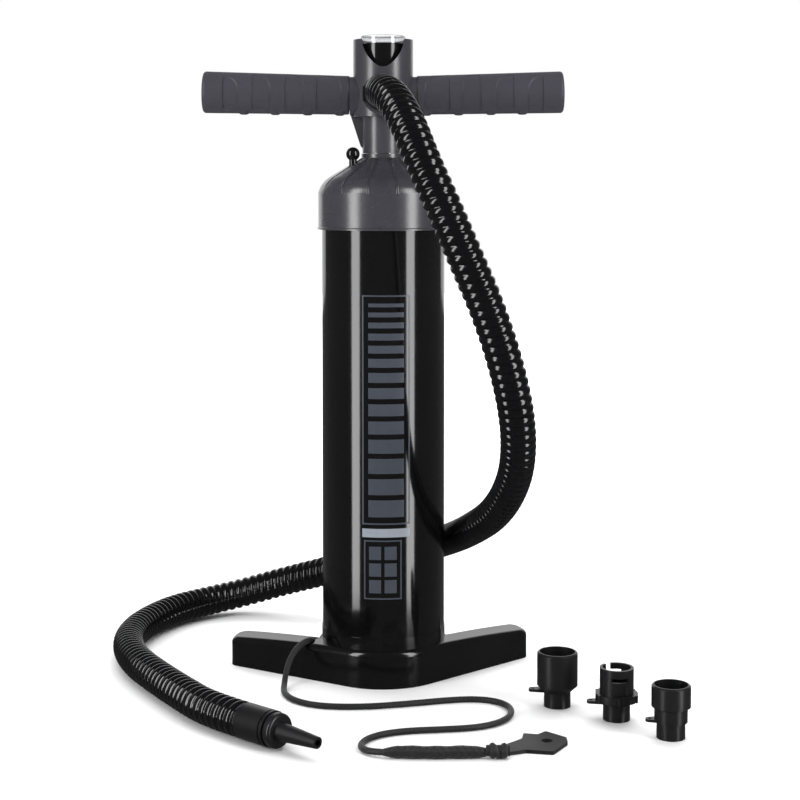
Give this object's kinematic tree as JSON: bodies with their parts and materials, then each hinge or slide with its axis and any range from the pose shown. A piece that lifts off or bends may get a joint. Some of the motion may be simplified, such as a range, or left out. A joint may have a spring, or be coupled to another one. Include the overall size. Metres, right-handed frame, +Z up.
{
  "type": "hand pump",
  "caption": "Upright double action hand pump with a T handle, a round gauge in the handle's head, a ribbed hose with a spout, a leash and loose valve adapters.",
  "frame": {"origin": "on the floor, on the barrel's axis", "axes": "+Z up along the barrel, +X along the handle bar, -Y the front, where the hose leaves the handle"},
  "size_m": [0.4929, 0.4601, 0.5636],
  "materials": {
    "cap_plastic": "satin",
    "handle_plastic": "satin",
    "grip_rubber": "matt",
    "barrel_plastic": "polished",
    "foot_plastic": "polished",
    "inner_plastic": "moulded",
    "bushing_plastic": "moulded",
    "seal_rubber": "matt",
    "flap_rubber": "matt",
    "rod_metal": "satin",
    "screw_steel": "zinc plated",
    "gauge_black": "polished",
    "gauge_clear": "clear",
    "dial_white": "printed",
    "needle_red": "painted",
    "gauge_brass": "turned",
    "connector_plastic": "satin",
    "hose_plastic": "ribbed",
    "cord_fabric": "braided",
    "tab_plastic": "matt",
    "adapter_plastic": "satin"
  },
  "bodies": {
    "base": {"foot": "foot_plastic", "base_plate": "inner_plastic", "base_screws": "screw_steel", "foot_seal": "seal_rubber", "foot_valve_stud": "flap_rubber", "barrel_tube": "barrel_plastic", "cylinder_head": "inner_plastic", "head_seal": "seal_rubber", "rod_bushing": "bushing_plastic", "rod_wiper": "seal_rubber", "top_cap": "cap_plastic", "hose_tube": "hose_plastic", "hose_end_cuff": "connector_plastic", "leash_cord": "cord_fabric", "leash_splice": "cord_fabric", "leash_knot": "cord_fabric", "leash_tab": "tab_plastic"},
    "handle": {"handle_body": "handle_plastic", "rod_screw": "screw_steel", "left_grip": "grip_rubber", "right_grip": "grip_rubber", "rod_tube": "rod_metal", "piston_body": "inner_plastic", "piston_seal": "seal_rubber", "piston_cover": "inner_plastic", "piston_screws": "screw_steel", "gauge_body": "gauge_black", "gauge_stem": "gauge_brass", "gauge_movement": "gauge_brass", "gauge_dial": "dial_white", "gauge_lens": "gauge_clear", "hose_connector": "connector_plastic", "port_seal": "seal_rubber"},
    "needle": {"gauge_needle": "needle_red"},
    "foot_flap": {"foot_intake_flap": "flap_rubber"},
    "head_flap": {"head_intake_flap": "flap_rubber"},
    "lower_flap": {"piston_lower_flap": "flap_rubber"},
    "upper_flap": {"piston_upper_flap": "flap_rubber"},
    "bypass": {"bypass_plug": "gauge_black"},
    "spout": {"spout": "adapter_plastic"},
    "cup": {"cup_adapter": "adapter_plastic"},
    "bayonet": {"bayonet_adapter": "adapter_plastic"},
    "slim": {"slim_adapter": "adapter_plastic"}
  },
  "joints": [
    {"name": "pump_stroke", "type": "slide", "parent": "base", "child": "handle", "axis": [0, 0, 1], "range_m": [0, 0.3]},
    {"name": "gauge_reading", "type": "hinge", "parent": "handle", "child": "needle", "pos_m": [0, 0, 0.5566], "axis": [0, 0, -1], "range_deg": [0, 270]},
    {"name": "foot_flap_lift", "type": "slide", "parent": "base", "child": "foot_flap", "axis": [0, 0, 1], "range_m": [0, 0.002]},
    {"name": "head_flap_drop", "type": "slide", "parent": "base", "child": "head_flap", "axis": [0, 0, -1], "range_m": [0, 0.002], "stiffness_N_per_m": 30},
    {"name": "piston_lower_flap_lift", "type": "slide", "parent": "handle", "child": "lower_flap", "axis": [0, 0, 1], "range_m": [0, 0.002]},
    {"name": "piston_upper_flap_drop", "type": "slide", "parent": "handle", "child": "upper_flap", "axis": [0, 0, -1], "range_m": [0, 0.002], "stiffness_N_per_m": 30},
    {"name": "bypass_plug_pull", "type": "slide", "parent": "base", "child": "bypass", "axis": [0, 0, 1], "range_m": [0, 0.014]},
    {"name": "spout_pull", "type": "slide", "parent": "base", "child": "spout", "axis": [0.7431, -0.6691, 0], "range_m": [0, 0.03]},
    {"name": "cup_adapter_lift", "type": "slide", "parent": "base", "child": "cup", "axis": [0, 0, 1], "range_m": [0, 0.06]},
    {"name": "bayonet_adapter_lift", "type": "slide", "parent": "base", "child": "bayonet", "axis": [0, 0, 1], "range_m": [0, 0.06]},
    {"name": "slim_adapter_lift", "type": "slide", "parent": "base", "child": "slim", "axis": [0, 0, 1], "range_m": [0, 0.06]}
  ]
}
